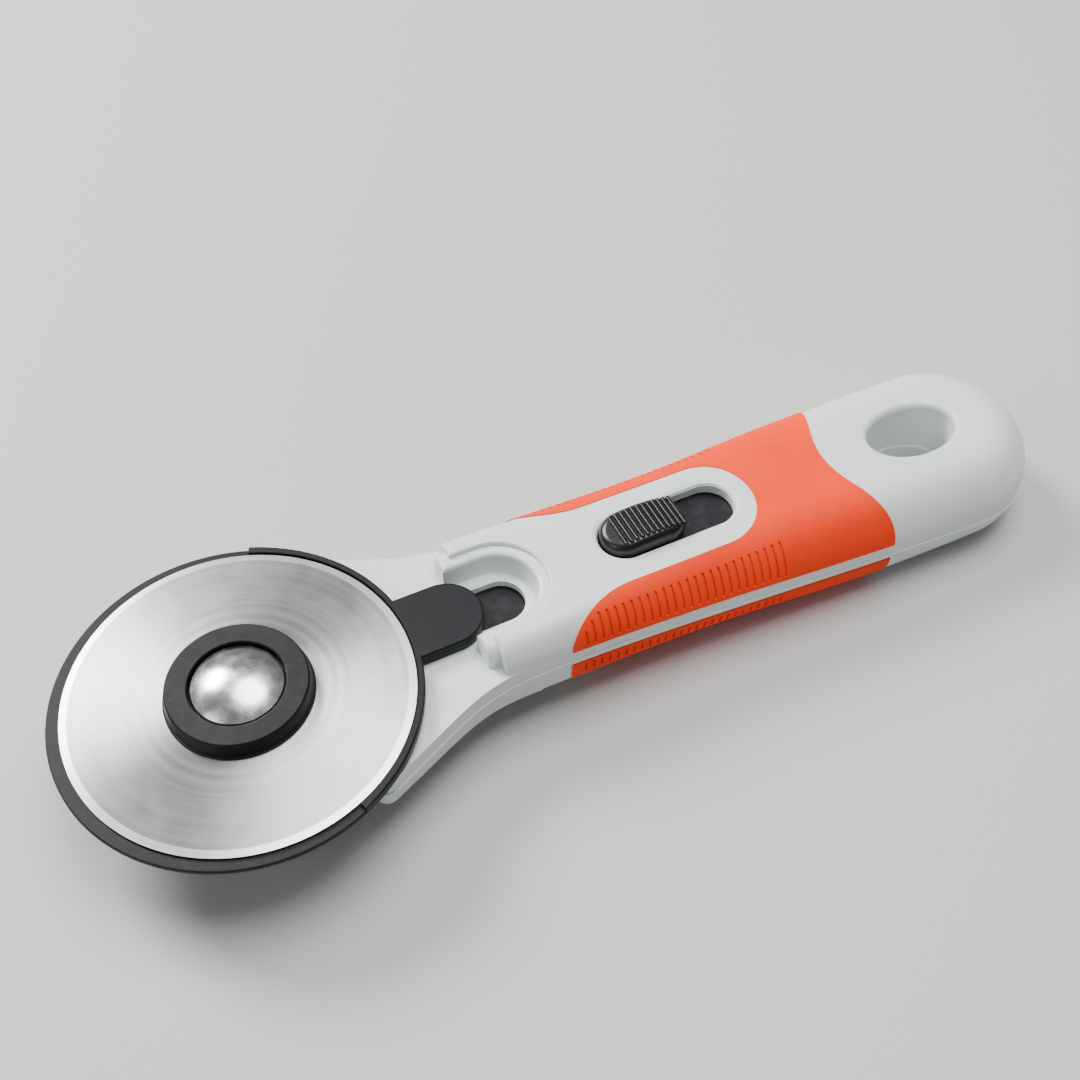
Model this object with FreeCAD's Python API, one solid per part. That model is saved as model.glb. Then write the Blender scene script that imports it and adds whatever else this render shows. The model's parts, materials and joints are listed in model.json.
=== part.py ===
import FreeCAD, Part
import math
import os

Vec = FreeCAD.Vector
UP = Vec(0, 0, 1)

# A 60 mm rotary cutter with a sliding blade guard. All sizes are in millimetres.
# x runs along the handle and is 0 on the blade's axis while the pieces are made, y is across, and z is
# the height above the surface that the cutter lies on. Each piece is moved along x when it is written,
# so that the origin is under the middle of the whole cutter.

# Clearances
axial_play = 0.05
running_play = 0.05
slide_play = 0.25
guide_play = 0.3

# Lock nut and spring washer, at the bottom of the axle
nut_radius = 12.0
nut_height = 7.9
nut_flutes = 10
flute_radius = 2.2
flute_depth = 1.2
nut_edge_round = 0.9
dimple_radius = 7.4
dimple_floor_radius = 6.2
washer_height = 0.75
washer_thickness = 0.4
washer_radius = 8.2
thread_radius = 3.0
thread_tip_z = 0.9
insert_radius = 5.0
insert_recess = 0.6

# Head plate and neck
head_thickness = 8.2
nose_radius = 16.5
horn_x = 16.8
horn_half_width = 25.4
horn_round = 2.4
horn_lean = 67.0
nose_angle = 78.0
neck_bends = ((0.27, 0.385), (0.54, 0.76))
neck_slot_half_width = 4.6
neck_slot_front_x = 34.0
neck_slot_end_x = 53.4
neck_wall = 1.45
head_edge_round = 1.9

# Blade, its bush, bolt and cap ring
blade_radius = 30.0
blade_bore_radius = 4.0
blade_thickness = 0.4
bevel_width = 1.3
edge_thickness = 0.05
bush_radius = 5.5
bush_flange_radius = 7.6
bush_flange_thickness = 1.2
bolt_flat_half_width = 3.2
cap_radius = 12.9
cap_base_height = 0.5
cap_floor = 1.45
cap_height = 3.35
cap_top_radius = 11.9
cap_mouth_radius = 8.35
cap_edge = 0.3
dome_radius = 7.8
dome_edge_height = 1.4
dome_rise = 2.3

# Guard
guard_overhang = 1.85
guard_setback = 0.5
guard_thickness = 1.0
guard_travel = 10.0
rim_height = 1.0
rim_half_angle = 69.0
tab_half_width = 6.85
tab_end_x = 44.9
tab_height = 2.6
tab_line_depth = 1.0
tab_line_size = 0.2
post_length = 7.2
post_width = 7.0

# Handle body
body_front_x = 43.0
tail_x = 147.2
front_half_width = 15.2
tail_half_width = 18.6
body_rise = 5.6
tail_drop = 1.5
front_top_round = 5.0
tail_top_round = 10.0
front_bottom_round = 2.2
tail_bottom_round = 8.0
shell_wall = 2.6
parting_height_front = 13.5
parting_height_tail = 9.2
parting_bend_x = 55.0
bead_size = 0.7
bead_proud = 0.3
section_count = 9

# Pocket for the guard's tab, and the ledge around it
pocket_radius = 7.0
pocket_mouth_radius = 7.6
pocket_lip = 0.7
pocket_centre_x = 48.0
ledge_radius = 9.6
ledge_front_x = 40.8
ledge_foot_half_width = 12.8
ledge_shoulder = 3.0
ledge_drop = 0.9
ledge_lip = 0.4
lobe_round = 1.1
edge_round = 0.6

# Thumb slot, button and the dish around them
slot_front_x = 69.0
slot_end_x = 97.0
slot_half_width = 4.9
slot_lip = 1.0
slot_lip_depth = 0.7
button_length = 17.0
button_height = 5.3
button_crown_radius = 30.0
button_edge_round = 1.5
button_rib_count = 12
button_rib_pitch = 1.12
button_rib_radius = 0.45
button_rib_half_length = 3.3
button_rib_shift = 0.9
button_stem_half_width = 1.8

# Slide bar
bar_half_width = 6.2
bar_thickness = 2.5
bar_front_x = 27.0
bar_step_x = 58.6
bar_step_length = 2.5
bar_rise = 4.5
bar_overlap = 2.0
rail_thickness = 1.5

# Soft grips
grip_thickness = 1.2
grip_proud = 0.2
grip_tip_x = 56.0
grip_arm_x = 70.0
grip_arm_half_gap = 9.7
grip_arm_end_x = 91.3
grip_back_x = 118.3
grip_back_swell = 6.0
grip_back_bends = (0.4, 0.75)
grip_lower_gap = 2.6
back_grip_gap = 1.3
rib_pitch = 1.65
rib_groove = 0.5
rib_depth = 0.4
rib_first_x = 58.4
rib_last_x = 100.5
rib_start_half_width = 12.6
rib_margin = 0.9
back_rib_depth = 4.2

# Hanging hole
hole_x = 139.3
hole_half_length = 9.9
hole_half_width = 6.05
hole_ledge = 0.6
hole_round = 1.2
hole_wall = 2.2

# Fasteners
screw_radius = 1.3
screw_head_radius = 2.6
screw_head_height = 1.6
screw_length = 11.0
cross_half_length = 1.5
cross_half_width = 0.4
cross_depth = 0.8
boss_radius = 3.1
neck_screw_x = 48.6
neck_screw_y = 9.9
tail_screw_x = 123.4
guard_screw_head_radius = 2.3
guard_screw_head_height = 1.2
guard_screw_length = 5.4

# Detent spring
spring_centre_x = 84.0
spring_half_length = 10.0
spring_thickness = 0.4
spring_half_width = 3.0
spring_bow = 2.2
bead_radius = 0.8

# Sizes that follow from the others, and heights from the stack on the axle
guard_radius = blade_radius + guard_overhang
head_bottom_z = nut_height + washer_height + axial_play
head_top_z = head_bottom_z + head_thickness
tab_bottom_z = head_top_z + guide_play
guard_top_z = tab_bottom_z + tab_height - rim_height
guard_bottom_z = guard_top_z - guard_thickness
blade_bottom_z = guard_top_z + guide_play
blade_top_z = blade_bottom_z + blade_thickness
cap_bottom_z = blade_top_z + axial_play
bush_top_z = blade_bottom_z - axial_play
dome_bottom_z = cap_bottom_z + cap_floor
body_top_z = head_top_z + body_rise
ledge_z = body_top_z - ledge_drop
bar_low_top_z = head_top_z - neck_wall - slide_play
bar_high_top_z = bar_low_top_z + bar_rise
parting_slope = (parting_height_tail - parting_height_front) / (tail_x - parting_bend_x)
handle_end_x = tail_x + tail_half_width
guard_front_x = -guard_setback - guard_radius
middle_x = (handle_end_x + guard_front_x) / 2.0
high = 60.0
wide = 60.0


def ease(x, start_x, end_x, start, end):
    """A value that goes smoothly from start to end between two stations."""
    t = min(1.0, max(0.0, (x - start_x) / (end_x - start_x)))
    return start + (end - start) * t * t * (3.0 - 2.0 * t)


def half_width_at(x):
    return ease(x, neck_slot_end_x, tail_x, front_half_width, tail_half_width)


def top_at(x):
    return ease(x, slot_end_x, tail_x, body_top_z, body_top_z - tail_drop)


def bottom_at(x):
    return ease(x, bush_flange_radius, tail_x - 2.0 * tail_bottom_round, head_bottom_z, 0.0)


def top_round_at(x):
    return ease(x, body_front_x, slot_end_x, front_top_round, tail_top_round)


def bottom_round_at(x):
    return ease(x, body_front_x, slot_end_x, front_bottom_round, tail_bottom_round)


def parting_at(x):
    return parting_height_front + parting_slope * max(0.0, x - parting_bend_x)


def cylinder(radius, z0, z1, x=0.0, y=0.0):
    return Part.makeCylinder(radius, z1 - z0, Vec(x, y, z0), UP)


def block(x0, x1, y0, y1, z0, z1):
    return Part.makeBox(x1 - x0, y1 - y0, z1 - z0, Vec(x0, y0, z0))


def obround(x0, x1, half_width, z0, z1):
    """A round-ended bar from x0 to x1, end to end."""
    middle = block(x0 + half_width, x1 - half_width, -half_width, half_width, z0, z1)
    front = cylinder(half_width, z0, z1, x0 + half_width)
    rear = cylinder(half_width, z0, z1, x1 - half_width)
    return middle.fuse([front, rear]).removeSplitter()


def obround_wire(x0, x1, half_width, z):
    left = Vec(x0 + half_width, half_width, z)
    right = Vec(x1 - half_width, half_width, z)
    right_low = Vec(x1 - half_width, -half_width, z)
    left_low = Vec(x0 + half_width, -half_width, z)
    edges = [
        Part.LineSegment(left, right).toShape(),
        Part.Arc(right, Vec(x1, 0, z), right_low).toShape(),
        Part.LineSegment(right_low, left_low).toShape(),
        Part.Arc(left_low, Vec(x0, 0, z), left).toShape(),
    ]
    return Part.Wire(edges)


def ellipse_wire(x, half_length, half_width, z):
    curve = Part.Ellipse(Vec(x, 0, z), half_length, half_width)
    return Part.Wire([curve.toShape()])


def turned(points, x=0.0, y=0.0):
    """A solid of revolution about a vertical axis, from (radius, z) points."""
    corners = [Vec(x + r, y, z) for r, z in points]
    face = Part.Face(Part.makePolygon(corners + corners[:1]))
    return face.revolve(Vec(x, y, 0), UP, 360)


def prism(wire, z0, z1):
    """The flat outline raised from z0 to z1."""
    face = Part.Face(wire)
    face.translate(Vec(0, 0, z0 - face.BoundBox.ZMin))
    return face.extrude(Vec(0, 0, z1 - z0))


def rounded(shape, radius, keep):
    """The shape with the edges that keep() picks rounded."""
    edges = [edge for edge in shape.Edges if keep(edge)]
    return shape.makeFillet(radius, edges)


def lies_at(edge, z, tolerance=1e-3):
    box = edge.BoundBox
    return abs(box.ZMin - z) < tolerance and abs(box.ZMax - z) < tolerance


def mirrored(shape):
    return shape.mirror(Vec(0, 0, 0), Vec(0, 1, 0))


# Handle form


def section(x, inset):
    """The handle's rounded section at x, drawn inside the surface by inset."""
    w = half_width_at(x) - inset
    top = top_at(x) - inset
    low = bottom_at(x) + inset
    a = max(top_round_at(x) - inset, edge_round)
    b = max(bottom_round_at(x) - inset, edge_round)
    ka = a * (1.0 - math.sqrt(0.5))
    kb = b * (1.0 - math.sqrt(0.5))
    edges = []
    for side in (1, -1):
        corner = [
            Vec(x, side * (w - a), top),
            Vec(x, side * (w - ka), top - ka),
            Vec(x, side * w, top - a),
            Vec(x, side * w, low + b),
            Vec(x, side * (w - kb), low + kb),
            Vec(x, side * (w - b), low),
        ]
        edges.append(Part.Arc(corner[0], corner[1], corner[2]).toShape())
        edges.append(Part.LineSegment(corner[2], corner[3]).toShape())
        edges.append(Part.Arc(corner[3], corner[4], corner[5]).toShape())
    across_top = Part.LineSegment(Vec(x, a - w, top), Vec(x, w - a, top)).toShape()
    across_low = Part.LineSegment(Vec(x, w - b, low), Vec(x, b - w, low)).toShape()
    return Part.Wire([across_top] + edges[:3] + [across_low] + edges[:2:-1])


def half_section_face(inset):
    """The half section at the tail, which is turned to make the round end."""
    w = tail_half_width - inset
    top = top_at(tail_x) - inset
    low = inset
    a = tail_top_round - inset
    b = tail_bottom_round - inset
    ka = a * (1.0 - math.sqrt(0.5))
    kb = b * (1.0 - math.sqrt(0.5))
    corners = ((0, low), (w - b, low), (w, low + b), (w, top - a), (w - a, top), (0, top))
    p = [Vec(tail_x, y, z) for y, z in corners]
    edges = [
        Part.LineSegment(p[0], p[1]).toShape(),
        Part.Arc(p[1], Vec(tail_x, w - kb, low + kb), p[2]).toShape(),
        Part.LineSegment(p[2], p[3]).toShape(),
        Part.Arc(p[3], Vec(tail_x, w - ka, top - ka), p[4]).toShape(),
        Part.LineSegment(p[4], p[5]).toShape(),
        Part.LineSegment(p[5], p[0]).toShape(),
    ]
    return Part.Face(Part.Wire(edges))


def handle_form(inset, front_x=body_front_x):
    """The whole handle body, from front_x to its round end, inside the surface by inset."""
    step = (tail_x - front_x) / (section_count - 1)
    wires = [section(front_x + step * i, inset) for i in range(section_count)]
    barrel = Part.makeLoft(wires, True, False)
    tail = half_section_face(inset).revolve(Vec(tail_x, 0, 0), UP, -180)
    return barrel.fuse(tail)


def flank(grow):
    """The edge of the neck on the +y side, from the horn back to the body."""
    lean = math.radians(horn_lean)
    horn_centre = Vec(horn_x, horn_half_width - horn_round, 0)
    start = horn_centre + Vec(math.cos(lean), math.sin(lean), 0) * horn_round
    run = body_front_x + pocket_radius - start.x
    fall = start.y - front_half_width
    bends = [Vec(start.x + along * run, start.y - down * fall + grow, 0) for along, down in neck_bends]
    end = Vec(start.x + run, front_half_width + grow, 0)
    start = start + Vec(grow / 2, grow, 0)
    leaving = Vec(math.sin(lean), -math.cos(lean), 0)
    curve = Part.BSplineCurve()
    points = [start] + bends + [end]
    curve.interpolate(Points=points, InitialTangent=leaving, FinalTangent=Vec(1, 0, 0))
    return curve, start, end


def head_outline(grow=0.0):
    """The nose, the two horns and the neck, seen from above."""
    curve, start, end = flank(grow)
    angle = math.radians(nose_angle)
    reach = nose_radius + grow
    nose = Vec(reach * math.cos(angle), reach * math.sin(angle), 0)
    horn_in = Vec(horn_x - horn_round - grow, horn_half_width - horn_round, 0)
    horn_top = Vec(horn_x, horn_half_width + grow, 0)
    side = [
        Part.LineSegment(nose, horn_in).toShape(),
        Part.Arc(horn_in, horn_top, start).toShape(),
        curve.toShape(),
    ]
    other = [edge.mirror(Vec(0, 0, 0), Vec(0, 1, 0)) for edge in side]
    back = Part.LineSegment(end, Vec(end.x, -end.y, 0)).toShape()
    nose_low = Vec(nose.x, -nose.y, 0)
    front = Part.Arc(nose_low, Vec(-reach, 0, 0), nose).toShape()
    return Part.Wire(Part.__sortEdges__([front] + side + [back] + other))


def below_curve(curve_z, x0, x1, count):
    """Everything under a height that changes along x."""
    points = [Vec(x0 + (x1 - x0) * i / (count - 1), -wide, 0) for i in range(count)]
    for point in points:
        point.z = curve_z(point.x)
    line = Part.BSplineCurve()
    line.interpolate(Points=points)
    low = [Vec(x1, -wide, -high), Vec(x0, -wide, -high)]
    edges = [line.toShape(), Part.makePolygon([points[-1]] + low + [points[0]])]
    face = Part.Face(Part.Wire(Part.__sortEdges__([edges[0]] + edges[1].Edges)))
    return face.extrude(Vec(0, 2 * wide, 0))


def head_form(grow=0.0):
    """The head plate and neck, level on top and following the handle's underside below."""
    end_x = body_front_x + pocket_radius
    plate = prism(head_outline(grow), 0, head_top_z + grow)
    under = below_curve(lambda x: bottom_at(x) - grow, -nose_radius - 5.0, end_x + 5.0, 9)
    plate = plate.cut(under)
    if grow:
        return plate
    walls = [edge for edge in plate.Edges if edge.BoundBox.ZMax < head_bottom_z + 0.01]
    walls = [edge for edge in walls if edge.BoundBox.XMin < end_x - 0.01]
    return plate.makeFillet(head_edge_round, walls)


def over_parting(lift):
    """Everything above the parting surface, raised by lift."""
    x0, x1 = -wide, handle_end_x + wide
    points = [
        Vec(x0, -wide, parting_at(x0) + lift),
        Vec(parting_bend_x, -wide, parting_at(parting_bend_x) + lift),
        Vec(x1, -wide, parting_at(x1) + lift),
        Vec(x1, -wide, high),
        Vec(x0, -wide, high),
    ]
    return Part.Face(Part.makePolygon(points + points[:1])).extrude(Vec(0, 2 * wide, 0))


# Grip outlines


def arm_edge_at(x):
    """Half the gap between the two arms of the grip at x."""
    t = min(1.0, max(0.0, (x - grip_tip_x) / (grip_arm_x - grip_tip_x)))
    return grip_arm_half_gap + (half_width_at(grip_tip_x) - grip_arm_half_gap) * (1.0 - t) ** 2


def grip_front_curve():
    """The edge of one arm, from outside the body to the straight stretch."""
    tip = Vec(grip_tip_x, half_width_at(grip_tip_x), 0)
    control = Vec((grip_tip_x + grip_arm_x) / 2.0, grip_arm_half_gap, 0)
    arm = Vec(grip_arm_x, grip_arm_half_gap, 0)
    slope = (tip.y - control.y) / (control.x - tip.x)
    outside = Vec(tip.x - grip_thickness * 4, tip.y + grip_thickness * 4 * slope, 0)
    curve = Part.BezierCurve()
    curve.setPoles([tip, control, arm])
    return [Part.LineSegment(outside, tip).toShape(), curve.toShape()], outside, arm


def grip_rear_curve(outer_y):
    """The rear edge of a grip on the +y side, from the centre line outwards."""
    curve = Part.BezierCurve()
    rear = grip_back_x + grip_back_swell
    first, second = grip_back_bends
    poles = [(grip_back_x, 0), (grip_back_x, first * outer_y), (rear, second * outer_y), (rear, outer_y)]
    curve.setPoles([Vec(x, y, 0) for x, y in poles])
    return curve.toShape(), Vec(rear, outer_y, 0)


def front_grip_plan():
    """One half of the saddle, seen from above, as a face on the +y side."""
    edges, outside, arm = grip_front_curve()
    rear_curve, rear = grip_rear_curve(outside.y)
    arm_end = Vec(grip_arm_end_x, grip_arm_half_gap, 0)
    diagonal = grip_arm_half_gap * math.sqrt(0.5)
    mid = Vec(grip_arm_end_x + diagonal, diagonal, 0)
    bow = Vec(grip_arm_end_x + grip_arm_half_gap, 0, 0)
    edges += [
        Part.LineSegment(arm, arm_end).toShape(),
        Part.Arc(arm_end, mid, bow).toShape(),
        Part.LineSegment(bow, Vec(grip_back_x, 0, 0)).toShape(),
        rear_curve,
        Part.LineSegment(rear, outside).toShape(),
    ]
    return Part.Wire(Part.__sortEdges__(edges))


def back_grip_plan():
    """One half of the lower strip, seen from above, as a face on the +y side."""
    edges, outside, arm = grip_front_curve()
    rear_curve, rear = grip_rear_curve(outside.y)
    centre = Vec(arm.x, 0, 0)
    edges += [
        Part.LineSegment(arm, centre).toShape(),
        Part.LineSegment(centre, Vec(grip_back_x, 0, 0)).toShape(),
        rear_curve,
        Part.LineSegment(rear, outside).toShape(),
    ]
    return Part.Wire(Part.__sortEdges__(edges))


def grip_ribs(low_z, top_z, surface):
    """The thin grooves across a grip's sides, cut to rib_depth below its surface."""
    count = int((rib_last_x - rib_first_x) / rib_pitch) + 1
    slots = []
    for i in range(count):
        x = rib_first_x + rib_pitch * i
        start = max(rib_start_half_width, arm_edge_at(x) + rib_margin)
        low = parting_at(x) + low_z
        top = min(parting_at(x) + top_z, high)
        for side in (start, -wide):
            slots.append(block(x, x + rib_groove, side, side + wide - start, low, top))
    return Part.makeCompound(slots).cut(surface)


def make_grips():
    """Both grips, with the hollows that they fill."""
    core = handle_form(grip_thickness)
    outer = handle_form(-grip_proud)
    groove_floor = handle_form(rib_depth - grip_proud)
    upper = prism(front_grip_plan(), 0, high)
    upper = upper.fuse(mirrored(upper)).common(over_parting(grip_lower_gap))
    lower = prism(back_grip_plan(), -grip_thickness, high)
    lower = lower.fuse(mirrored(lower)).cut(over_parting(-back_grip_gap))
    upper_bed = upper.cut(core)
    lower_bed = lower.cut(core)
    front = outer.common(upper_bed)
    back = outer.common(lower_bed)
    front = front.cut(grip_ribs(grip_lower_gap + rib_margin, high, groove_floor))
    back = back.cut(grip_ribs(-back_rib_depth, -back_grip_gap - rib_margin, groove_floor))
    return front, back, upper_bed, lower_bed


# Handle halves


def with_hole(form, half_length, half_width, upper):
    """The handle with its oval hanging hole, and the hole's upper or lower mouth rounded."""
    form = form.cut(prism(ellipse_wire(hole_x, half_length, half_width, 0), -high, high))
    reach = hole_round / 4

    def is_mouth(edge):
        box = edge.BoundBox
        if max(box.XMax - hole_x, hole_x - box.XMin) > half_length + reach:
            return False
        if max(box.YMax, -box.YMin) > half_width + reach:
            return False
        middle = parting_at(hole_x)
        return box.ZMin > middle + hole_round if upper else box.ZMax < middle - hole_round

    return rounded(form, hole_round, is_mouth)


def screw_places():
    return [(neck_screw_x, neck_screw_y), (neck_screw_x, -neck_screw_y), (tail_screw_x, 0.0)]


def screw_seat_z(x):
    """The height of a shell screw's head above the surface that the cutter lies on."""
    return bottom_at(x) + screw_head_height + edge_round


def bar_channel():
    """The room that the slide bar moves in."""
    side = bar_half_width + slide_play
    low_top = bar_low_top_z + slide_play
    low_bottom = bar_low_top_z - bar_thickness - slide_play
    front = bar_front_x - slide_play
    neck = block(front, bar_step_x + guard_travel, -side, side, low_bottom, low_top)
    end = slot_end_x + bar_overlap + guard_travel + slide_play
    tall = block(bar_step_x - slide_play, end, -side, side, low_bottom, bar_high_top_z + slide_play)
    return neck.fuse(tall)


def handle_cavity():
    """The hollow inside both halves, with the walls of the hanging hole left in it."""
    cavity = handle_form(shell_wall, bar_step_x + slide_play)
    outline = ellipse_wire(hole_x, hole_half_length + hole_wall, hole_half_width + hole_wall, 0)
    ring = prism(outline, 0, high)
    return cavity.cut(ring)


def slot_mouth():
    """The eased edge around the thumb slot."""
    low = body_top_z - slot_lip_depth
    middle = body_top_z - slot_lip_depth / 3
    above = body_top_z + slot_lip
    wires = []
    for reach, z in ((0.0, low), (slot_lip / 3, middle), (slot_lip, body_top_z), (2 * slot_lip, above)):
        wires.append(obround_wire(slot_front_x - reach, slot_end_x + reach, slot_half_width + reach, z))
    return Part.makeLoft(wires, True, True)


def sunk(steps):
    """A hollow that is open to the front and round behind, from (radius, z) steps upwards."""
    wires = []
    for radius, z in steps:
        wires.append(obround_wire(horn_x - radius, pocket_centre_x + radius, radius, z))
    return Part.makeLoft(wires, True, True)


def pocket():
    """The open pocket that the guard's tab slides back into, with an eased mouth."""
    lip = pocket_lip
    return sunk([
        (pocket_radius, head_top_z),
        (pocket_mouth_radius, ledge_z - lip),
        (pocket_mouth_radius + lip / 3, ledge_z - lip / 3),
        (pocket_mouth_radius + lip, ledge_z),
        (pocket_mouth_radius + 2 * lip, ledge_z + lip / 2),
    ])


def ledge_room():
    """What is cut from the body to sink the ledge below its top."""
    lip = ledge_lip
    return sunk([
        (ledge_radius, ledge_z),
        (ledge_radius, body_top_z - lip),
        (ledge_radius + lip / 2, body_top_z - lip / 4),
        (ledge_radius + 2 * lip, body_top_z + lip / 2),
    ])


def front_lobe():
    """The front of the ledge, which stands forward of the body and widens towards its foot."""
    low = head_top_z - neck_wall
    side = ledge_foot_half_width
    top_side = side - ledge_shoulder
    shoulder_z = ledge_z - ledge_shoulder
    slant = ledge_shoulder * (1.0 - math.sqrt(0.5))
    x = ledge_front_x
    arc = Part.Arc(
        Vec(x, side, shoulder_z),
        Vec(x, side - slant, ledge_z - slant),
        Vec(x, top_side, ledge_z),
    )
    right = [Part.LineSegment(Vec(x, side, low), Vec(x, side, shoulder_z)).toShape(), arc.toShape()]
    left = [mirrored(edge) for edge in right]
    top = Part.LineSegment(Vec(x, top_side, ledge_z), Vec(x, -top_side, ledge_z)).toShape()
    foot = Part.LineSegment(Vec(x, -side, low), Vec(x, side, low)).toShape()
    face = Part.Face(Part.Wire(Part.__sortEdges__(right + left + [top, foot])))
    lobe = face.extrude(Vec(body_front_x + front_top_round - x, 0, 0))

    def is_front(edge):
        return edge.BoundBox.XMax < x + 1e-3 and edge.BoundBox.ZMax > low + 1e-3

    return rounded(lobe, lobe_round, is_front)


def body_with_ledge():
    """The handle body with its rounded front edge, the sunk ledge and its front lobe."""
    body = handle_form(0.0)
    front = [edge for edge in body.Edges if edge.BoundBox.XMax < body_front_x + 1e-3]
    front = [edge for edge in front if edge.BoundBox.ZMin > head_top_z + edge_round]
    body = body.makeFillet(edge_round, front)
    return body.cut(ledge_room()).fuse(front_lobe())


def make_front_shell(form, upper_bed, cavity):
    """The upper half, with the neck, both slots, the pocket and its inner rails and posts."""
    form = with_hole(form, hole_half_length, hole_half_width, True)
    shell = form.common(over_parting(0.0)).cut(upper_bed)
    shell = shell.cut(pocket())
    shell = shell.cut(slot_mouth())
    shell = shell.cut(obround(slot_front_x, slot_end_x, slot_half_width, head_top_z, high))
    neck_slot = obround(neck_slot_front_x, neck_slot_end_x, neck_slot_half_width, bar_low_top_z, high)
    shell = shell.cut(neck_slot)
    shell = shell.cut(cavity)
    inside = cavity.common(over_parting(0.0))
    rail_end = slot_end_x + bar_overlap + guard_travel + 2 * rail_thickness
    side = bar_half_width + slide_play
    rail_low = bar_high_top_z - bar_thickness - 2 * guide_play
    rails = [
        block(bar_step_x, rail_end, side, side + rail_thickness, rail_low, high),
        block(bar_step_x, rail_end, -side - rail_thickness, -side, rail_low, high),
    ]
    posts = [cylinder(boss_radius, 0, high, x, y) for x, y in screw_places()]
    for piece in rails + posts:
        shell = shell.fuse(piece.common(inside))
    shell = shell.cut(bar_channel())
    for x, y in screw_places():
        shell = shell.cut(cylinder(screw_radius, 0, screw_seat_z(x) + screw_length + guide_play, x, y))
    return shell.cut(axle_seat())


def seam_bead():
    """A thin plate just under the parting surface, which stands proud all round as a bead."""
    swollen = handle_form(-bead_proud).fuse(head_form(bead_proud))
    return swollen.cut(over_parting(0.0)).common(over_parting(-bead_size))


def make_back_shell(form, lower_bed, cavity):
    """The lower half, with its seam bead, posts, cross ribs and screw seats."""
    shell = form.cut(over_parting(0.0)).fuse(seam_bead())
    shell = with_hole(shell, hole_half_length - hole_ledge, hole_half_width - hole_ledge, False)
    shell = shell.cut(lower_bed).cut(cavity)
    inside = cavity.cut(over_parting(0.0))
    posts = [cylinder(boss_radius, 0, high, x, y) for x, y in screw_places()]
    for post in posts:
        shell = shell.fuse(post.common(inside))
    for x in (spring_centre_x - spring_half_length, spring_centre_x + spring_half_length):
        rib = bar_block(x - rail_thickness, x + rail_thickness, 0, spring_foot_z())
        shell = shell.fuse(rib.common(cavity))
    shell = shell.cut(bar_channel_floor())
    for x, y in screw_places():
        seat = screw_seat_z(x)
        shell = shell.cut(cylinder(screw_radius + slide_play, 0, high, x, y))
        shell = shell.cut(cylinder(screw_head_radius + slide_play, -high, seat, x, y))
    return shell.cut(axle_seat())


def bar_channel_floor():
    """The part of the bar's channel that lies in the neck."""
    side = bar_half_width + slide_play
    low = bar_low_top_z - bar_thickness - slide_play
    return block(bar_front_x - slide_play, bar_step_x + guard_travel, -side, side, low, high)


def axle_seat():
    """The stepped hole through the head that holds the bush."""
    bore = cylinder(bush_radius, -high, high)
    recess = cylinder(bush_flange_radius, head_top_z - bush_flange_thickness, high)
    return bore.fuse(recess)


# Blade stack


def make_blade():
    half_edge = edge_thickness / 2
    middle = (blade_bottom_z + blade_top_z) / 2
    inner = blade_radius - bevel_width
    return turned([
        (blade_bore_radius, blade_bottom_z),
        (inner, blade_bottom_z),
        (blade_radius, middle - half_edge),
        (blade_radius, middle + half_edge),
        (inner, blade_top_z),
        (blade_bore_radius, blade_top_z),
    ])


def make_guard():
    """The disc under the blade, its rim, the tab and the post that the slide bar is screwed to."""
    lower = edge_round / 2
    rim_top = guard_top_z + rim_height
    disc = cylinder(guard_radius, guard_bottom_z, guard_top_z, -guard_setback)
    disc = rounded(disc, lower, lambda edge: lies_at(edge, guard_top_z) or lies_at(edge, guard_bottom_z))
    rim = cylinder(guard_radius, guard_bottom_z, rim_top, -guard_setback)
    rim = rounded(rim, lower, lambda edge: lies_at(edge, rim_top) or lies_at(edge, guard_bottom_z))
    rim = rim.cut(cylinder(blade_radius + guide_play, 0, high))
    angle = math.radians(rim_half_angle)
    reach = 2 * guard_radius
    edge_x, edge_y = reach * math.cos(angle), reach * math.sin(angle)
    corner = [Vec(0, 0, 0), Vec(edge_x, edge_y, 0), Vec(2 * reach, reach, 0)]
    corner += [Vec(2 * reach, -reach, 0), Vec(edge_x, -edge_y, 0)]
    rim = rim.common(prism(Part.makePolygon(corner + corner[:1]), 0, high))
    tab = obround(blade_radius - 2 * tab_half_width, tab_end_x, tab_half_width, tab_bottom_z, rim_top)
    tab = rounded(tab, edge_round, lambda edge: lies_at(edge, rim_top))
    line_z = rim_top - tab_line_depth
    line = obround(-wide, tab_end_x + 1, tab_half_width + 1, line_z - tab_line_size, line_z)
    core_end = tab_end_x - tab_line_size
    line = line.cut(obround(-wide - 1, core_end, tab_half_width - tab_line_size, 0, high))
    tab = tab.cut(line).cut(cylinder(blade_radius + guide_play, guard_top_z, high))
    guard = disc.fuse([rim, tab])
    slot_side = bush_radius + guide_play
    guard = guard.cut(obround(-guard_travel - slot_side, slot_side, slot_side, 0, high))
    half = post_length / 2
    post = obround(post_x() - half, post_x() + half, post_width / 2, bar_low_top_z, tab_bottom_z)
    guard = guard.fuse(post)
    top = guard_screw_base_z() + guard_screw_head_height + guard_screw_length
    return guard.cut(cylinder(screw_radius, 0, top, post_x())).removeSplitter()


def post_x():
    """The station of the guard's post, under the tab's round end."""
    return tab_end_x - tab_half_width


def guard_screw_base_z():
    return bar_low_top_z - bar_thickness


def cross_recess(x, y, z):
    """The cross in a screw's head, cut upwards from z."""
    arm = block(x - cross_half_length, x + cross_half_length, y - cross_half_width, y + cross_half_width,
                z - cross_depth, z + cross_depth)
    turn = arm.copy()
    turn.rotate(Vec(x, y, 0), UP, 90)
    return arm.fuse(turn)


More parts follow.
